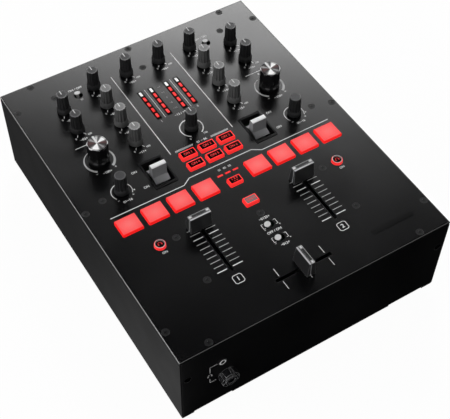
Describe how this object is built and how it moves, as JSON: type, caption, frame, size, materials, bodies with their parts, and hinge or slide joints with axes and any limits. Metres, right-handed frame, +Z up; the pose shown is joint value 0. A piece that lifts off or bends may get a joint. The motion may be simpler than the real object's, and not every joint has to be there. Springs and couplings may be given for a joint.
{
  "type": "dj mixer",
  "caption": "Low black box mixer with a controls plate on top: rotary knobs, sliding faders, lit pads, levers and toggles that all move, and sockets front and rear.",
  "frame": {"origin": "on the ground under the middle of the whole object's box", "axes": "+X to the user's right, +Y away from the user (towards the rear sockets), +Z up"},
  "size_m": [0.254, 0.3356, 0.1173],
  "materials": {
    "faceplate_paint": "satin black",
    "housing_paint": "satin black",
    "foot_rubber": "matte",
    "black_screws": "black oxide",
    "circuit_board": "solder mask",
    "control_body_metal": "satin",
    "meter_window": "gloss, with lit red and white bars",
    "frame_plastic": "satin",
    "socket_plastic": "satin, with metal contacts",
    "knob_black": "satin",
    "knob_grey": "satin, grey cap on a black skirt",
    "filter_knob": "gloss black with a spun metal cap",
    "switch_metal": "satin",
    "fader_plastic": "satin",
    "paddle_metal": "satin",
    "toggle_metal": "polished",
    "pad_red": "translucent, lit red",
    "button_red": "translucent rim with a dark window",
    "cue_red": "translucent with a bright ring",
    "rocker_plastic": "gloss"
  },
  "bodies": {
    "housing": {"faceplate": "faceplate_paint", "chassis": "housing_paint", "front_panel": "housing_paint", "rear_panel": "housing_paint", "feet": "foot_rubber", "screws": "black_screws", "circuit_boards": "circuit_board", "control_bodies": "control_body_metal", "meter_leds": "meter_window", "paddle_frames": "frame_plastic", "sockets": "socket_plastic"},
    "mic_level_knob": {"mic_level_knob": "knob_black"},
    "mic_tone_knob": {"mic_tone_knob": "knob_black"},
    "phones_level_knob": {"phones_level_knob": "knob_black"},
    "phones_mix_knob": {"phones_mix_knob": "knob_black"},
    "trim_knob_1": {"trim_knob_1": "knob_black"},
    "treble_knob_1": {"treble_knob_1": "knob_grey"},
    "mid_knob_1": {"mid_knob_1": "knob_grey"},
    "bass_knob_1": {"bass_knob_1": "knob_grey"},
    "trim_knob_2": {"trim_knob_2": "knob_black"},
    "treble_knob_2": {"treble_knob_2": "knob_grey"},
    "mid_knob_2": {"mid_knob_2": "knob_grey"},
    "bass_knob_2": {"bass_knob_2": "knob_grey"},
    "master_level_knob": {"master_level_knob": "knob_black"},
    "booth_level_knob": {"booth_level_knob": "knob_black"},
    "effect_mix_knob": {"effect_mix_knob": "knob_black"},
    "filter_knob_1": {"filter_knob_1": "filter_knob"},
    "filter_knob_2": {"filter_knob_2": "filter_knob"},
    "loop_plunger_1": {"loop_plunger_1": "switch_metal"},
    "loop_plunger_2": {"loop_plunger_2": "switch_metal"},
    "loop_knob_1": {"loop_knob_1": "knob_black"},
    "loop_knob_2": {"loop_knob_2": "knob_black"},
    "channel_fader_1": {"channel_fader_1": "fader_plastic"},
    "channel_fader_2": {"channel_fader_2": "fader_plastic"},
    "crossfader": {"crossfader": "fader_plastic"},
    "effect_paddle_1": {"effect_paddle_1": "paddle_metal"},
    "effect_paddle_2": {"effect_paddle_2": "paddle_metal"},
    "input_toggle_1": {"input_toggle_1": "toggle_metal"},
    "input_toggle_2": {"input_toggle_2": "toggle_metal"},
    "reverse_toggle": {"reverse_toggle": "toggle_metal"},
    "slope_toggle": {"slope_toggle": "toggle_metal"},
    "pad_1": {"pad_1": "pad_red"},
    "pad_2": {"pad_2": "pad_red"},
    "pad_3": {"pad_3": "pad_red"},
    "pad_4": {"pad_4": "pad_red"},
    "pad_5": {"pad_5": "pad_red"},
    "pad_6": {"pad_6": "pad_red"},
    "pad_7": {"pad_7": "pad_red"},
    "pad_8": {"pad_8": "pad_red"},
    "effect_button_1": {"effect_button_1": "button_red"},
    "effect_button_2": {"effect_button_2": "button_red"},
    "effect_button_3": {"effect_button_3": "button_red"},
    "effect_button_4": {"effect_button_4": "button_red"},
    "effect_button_5": {"effect_button_5": "button_red"},
    "effect_button_6": {"effect_button_6": "button_red"},
    "pad_mode_button": {"pad_mode_button": "button_red"},
    "shift_button": {"shift_button": "button_red"},
    "cue_button_1": {"cue_button_1": "cue_red"},
    "cue_button_2": {"cue_button_2": "cue_red"},
    "power_rocker": {"power_rocker": "rocker_plastic"}
  },
  "joints": [
    {"name": "mic_level_turn", "type": "hinge", "parent": "housing", "child": "mic_level_knob", "pos_m": [-0.0859, 0.11205, 0.0956], "axis": [0, 0, 1], "range_deg": [-150, 150]},
    {"name": "mic_tone_turn", "type": "hinge", "parent": "housing", "child": "mic_tone_knob", "pos_m": [-0.0859, 0.08595, 0.0956], "axis": [0, 0, 1], "range_deg": [-150, 150]},
    {"name": "phones_level_turn", "type": "hinge", "parent": "housing", "child": "phones_level_knob", "pos_m": [0.0859, 0.11205, 0.0956], "axis": [0, 0, 1], "range_deg": [-150, 150]},
    {"name": "phones_mix_turn", "type": "hinge", "parent": "housing", "child": "phones_mix_knob", "pos_m": [0.0859, 0.08595, 0.0956], "axis": [0, 0, 1], "range_deg": [-150, 150]},
    {"name": "trim_turn_1", "type": "hinge", "parent": "housing", "child": "trim_knob_1", "pos_m": [-0.0497, 0.12555, 0.0956], "axis": [0, 0, 1], "range_deg": [-150, 150]},
    {"name": "treble_turn_1", "type": "hinge", "parent": "housing", "child": "treble_knob_1", "pos_m": [-0.0497, 0.09945, 0.0956], "axis": [0, 0, 1], "range_deg": [-150, 150]},
    {"name": "mid_turn_1", "type": "hinge", "parent": "housing", "child": "mid_knob_1", "pos_m": [-0.0497, 0.07335, 0.0956], "axis": [0, 0, 1], "range_deg": [-150, 150]},
    {"name": "bass_turn_1", "type": "hinge", "parent": "housing", "child": "bass_knob_1", "pos_m": [-0.0497, 0.04725, 0.0956], "axis": [0, 0, 1], "range_deg": [-150, 150]},
    {"name": "trim_turn_2", "type": "hinge", "parent": "housing", "child": "trim_knob_2", "pos_m": [0.0497, 0.12555, 0.0956], "axis": [0, 0, 1], "range_deg": [-150, 150]},
    {"name": "treble_turn_2", "type": "hinge", "parent": "housing", "child": "treble_knob_2", "pos_m": [0.0497, 0.09945, 0.0956], "axis": [0, 0, 1], "range_deg": [-150, 150]},
    {"name": "mid_turn_2", "type": "hinge", "parent": "housing", "child": "mid_knob_2", "pos_m": [0.0497, 0.07335, 0.0956], "axis": [0, 0, 1], "range_deg": [-150, 150]},
    {"name": "bass_turn_2", "type": "hinge", "parent": "housing", "child": "bass_knob_2", "pos_m": [0.0497, 0.04725, 0.0956], "axis": [0, 0, 1], "range_deg": [-150, 150]},
    {"name": "master_level_turn", "type": "hinge", "parent": "housing", "child": "master_level_knob", "pos_m": [-0.0167, 0.12555, 0.0956], "axis": [0, 0, 1], "range_deg": [-150, 150]},
    {"name": "booth_level_turn", "type": "hinge", "parent": "housing", "child": "booth_level_knob", "pos_m": [0.0167, 0.12555, 0.0956], "axis": [0, 0, 1], "range_deg": [-150, 150]},
    {"name": "effect_mix_turn", "type": "hinge", "parent": "housing", "child": "effect_mix_knob", "pos_m": [0, 0.03755, 0.0956], "axis": [0, 0, 1], "range_deg": [-150, 150]},
    {"name": "filter_turn_1", "type": "hinge", "parent": "housing", "child": "filter_knob_1", "pos_m": [-0.0859, 0.04535, 0.0956], "axis": [0, 0, 1], "range_deg": [-150, 150]},
    {"name": "filter_turn_2", "type": "hinge", "parent": "housing", "child": "filter_knob_2", "pos_m": [0.0859, 0.04535, 0.0956], "axis": [0, 0, 1], "range_deg": [-150, 150]},
    {"name": "loop_press_1", "type": "slide", "parent": "housing", "child": "loop_plunger_1", "axis": [0, 0, -1], "range_m": [0, 0.0005], "stiffness_N_per_m": 1000, "springref_m": -0.0008},
    {"name": "loop_press_2", "type": "slide", "parent": "housing", "child": "loop_plunger_2", "axis": [0, 0, -1], "range_m": [0, 0.0005], "stiffness_N_per_m": 1000, "springref_m": -0.0008},
    {"name": "loop_turn_1", "type": "hinge", "parent": "loop_plunger_1", "child": "loop_knob_1", "pos_m": [-0.0859, 0.00535, 0.0956], "axis": [0, 0, 1], "continuous": true},
    {"name": "loop_turn_2", "type": "hinge", "parent": "loop_plunger_2", "child": "loop_knob_2", "pos_m": [0.0859, 0.00535, 0.0956], "axis": [0, 0, 1], "continuous": true},
    {"name": "channel_fade_1", "type": "slide", "parent": "housing", "child": "channel_fader_1", "axis": [0, -1, 0], "range_m": [0, 0.0468]},
    {"name": "channel_fade_2", "type": "slide", "parent": "housing", "child": "channel_fader_2", "axis": [0, -1, 0], "range_m": [0, 0.0468]},
    {"name": "cross_fade", "type": "slide", "parent": "housing", "child": "crossfader", "axis": [1, 0, 0], "range_m": [-0.0225, 0.0225]},
    {"name": "paddle_tilt_1", "type": "hinge", "parent": "housing", "child": "effect_paddle_1", "pos_m": [-0.0497, 0.00835, 0.0796], "axis": [1, 0, 0], "range_deg": [-15, 15], "stiffness_Nm_per_rad": 0.05},
    {"name": "paddle_tilt_2", "type": "hinge", "parent": "housing", "child": "effect_paddle_2", "pos_m": [0.0497, 0.00835, 0.0796], "axis": [1, 0, 0], "range_deg": [-15, 15], "stiffness_Nm_per_rad": 0.05},
    {"name": "input_toggle_1_throw", "type": "hinge", "parent": "housing", "child": "input_toggle_1", "pos_m": [-0.0665, 0.12335, 0.0866], "axis": [1, 0, 0], "range_deg": [0, 22]},
    {"name": "input_toggle_2_throw", "type": "hinge", "parent": "housing", "child": "input_toggle_2", "pos_m": [0.0665, 0.12335, 0.0866], "axis": [1, 0, 0], "range_deg": [0, 22]},
    {"name": "reverse_toggle_throw", "type": "hinge", "parent": "housing", "child": "reverse_toggle", "pos_m": [0, -0.08615, 0.0866], "axis": [0, 1, 0], "range_deg": [0, 22]},
    {"name": "slope_toggle_throw", "type": "hinge", "parent": "housing", "child": "slope_toggle", "pos_m": [0, -0.10165, 0.0866], "axis": [0, 1, 0], "range_deg": [0, 22]},
    {"name": "pad_press_1", "type": "slide", "parent": "housing", "child": "pad_1", "axis": [0, 0, -1], "range_m": [0, 0.001], "stiffness_N_per_m": 500, "springref_m": -0.0006},
    {"name": "pad_press_2", "type": "slide", "parent": "housing", "child": "pad_2", "axis": [0, 0, -1], "range_m": [0, 0.001], "stiffness_N_per_m": 500, "springref_m": -0.0006},
    {"name": "pad_press_3", "type": "slide", "parent": "housing", "child": "pad_3", "axis": [0, 0, -1], "range_m": [0, 0.001], "stiffness_N_per_m": 500, "springref_m": -0.0006},
    {"name": "pad_press_4", "type": "slide", "parent": "housing", "child": "pad_4", "axis": [0, 0, -1], "range_m": [0, 0.001], "stiffness_N_per_m": 500, "springref_m": -0.0006},
    {"name": "pad_press_5", "type": "slide", "parent": "housing", "child": "pad_5", "axis": [0, 0, -1], "range_m": [0, 0.001], "stiffness_N_per_m": 500, "springref_m": -0.0006},
    {"name": "pad_press_6", "type": "slide", "parent": "housing", "child": "pad_6", "axis": [0, 0, -1], "range_m": [0, 0.001], "stiffness_N_per_m": 500, "springref_m": -0.0006},
    {"name": "pad_press_7", "type": "slide", "parent": "housing", "child": "pad_7", "axis": [0, 0, -1], "range_m": [0, 0.001], "stiffness_N_per_m": 500, "springref_m": -0.0006},
    {"name": "pad_press_8", "type": "slide", "parent": "housing", "child": "pad_8", "axis": [0, 0, -1], "range_m": [0, 0.001], "stiffness_N_per_m": 500, "springref_m": -0.0006},
    {"name": "effect_press_1", "type": "slide", "parent": "housing", "child": "effect_button_1", "axis": [0, 0, -1], "range_m": [0, 0.001], "stiffness_N_per_m": 500, "springref_m": -0.0006},
    {"name": "effect_press_2", "type": "slide", "parent": "housing", "child": "effect_button_2", "axis": [0, 0, -1], "range_m": [0, 0.001], "stiffness_N_per_m": 500, "springref_m": -0.0006},
    {"name": "effect_press_3", "type": "slide", "parent": "housing", "child": "effect_button_3", "axis": [0, 0, -1], "range_m": [0, 0.001], "stiffness_N_per_m": 500, "springref_m": -0.0006},
    {"name": "effect_press_4", "type": "slide", "parent": "housing", "child": "effect_button_4", "axis": [0, 0, -1], "range_m": [0, 0.001], "stiffness_N_per_m": 500, "springref_m": -0.0006},
    {"name": "effect_press_5", "type": "slide", "parent": "housing", "child": "effect_button_5", "axis": [0, 0, -1], "range_m": [0, 0.001], "stiffness_N_per_m": 500, "springref_m": -0.0006},
    {"name": "effect_press_6", "type": "slide", "parent": "housing", "child": "effect_button_6", "axis": [0, 0, -1], "range_m": [0, 0.001], "stiffness_N_per_m": 500, "springref_m": -0.0006},
    {"name": "pad_mode_press", "type": "slide", "parent": "housing", "child": "pad_mode_button", "axis": [0, 0, -1], "range_m": [0, 0.001], "stiffness_N_per_m": 500, "springref_m": -0.0006},
    {"name": "shift_press", "type": "slide", "parent": "housing", "child": "shift_button", "axis": [0, 0, -1], "range_m": [0, 0.001], "stiffness_N_per_m": 500, "springref_m": -0.0006},
    {"name": "cue_press_1", "type": "slide", "parent": "housing", "child": "cue_button_1", "axis": [0, 0, -1], "range_m": [0, 0.001], "stiffness_N_per_m": 500, "springref_m": -0.0006},
    {"name": "cue_press_2", "type": "slide", "parent": "housing", "child": "cue_button_2", "axis": [0, 0, -1], "range_m": [0, 0.001], "stiffness_N_per_m": 500, "springref_m": -0.0006},
    {"name": "power_rock", "type": "hinge", "parent": "housing", "child": "power_rocker", "pos_m": [-0.104, 0.15525, 0.05], "axis": [1, 0, 0], "range_deg": [0, 18]}
  ]
}
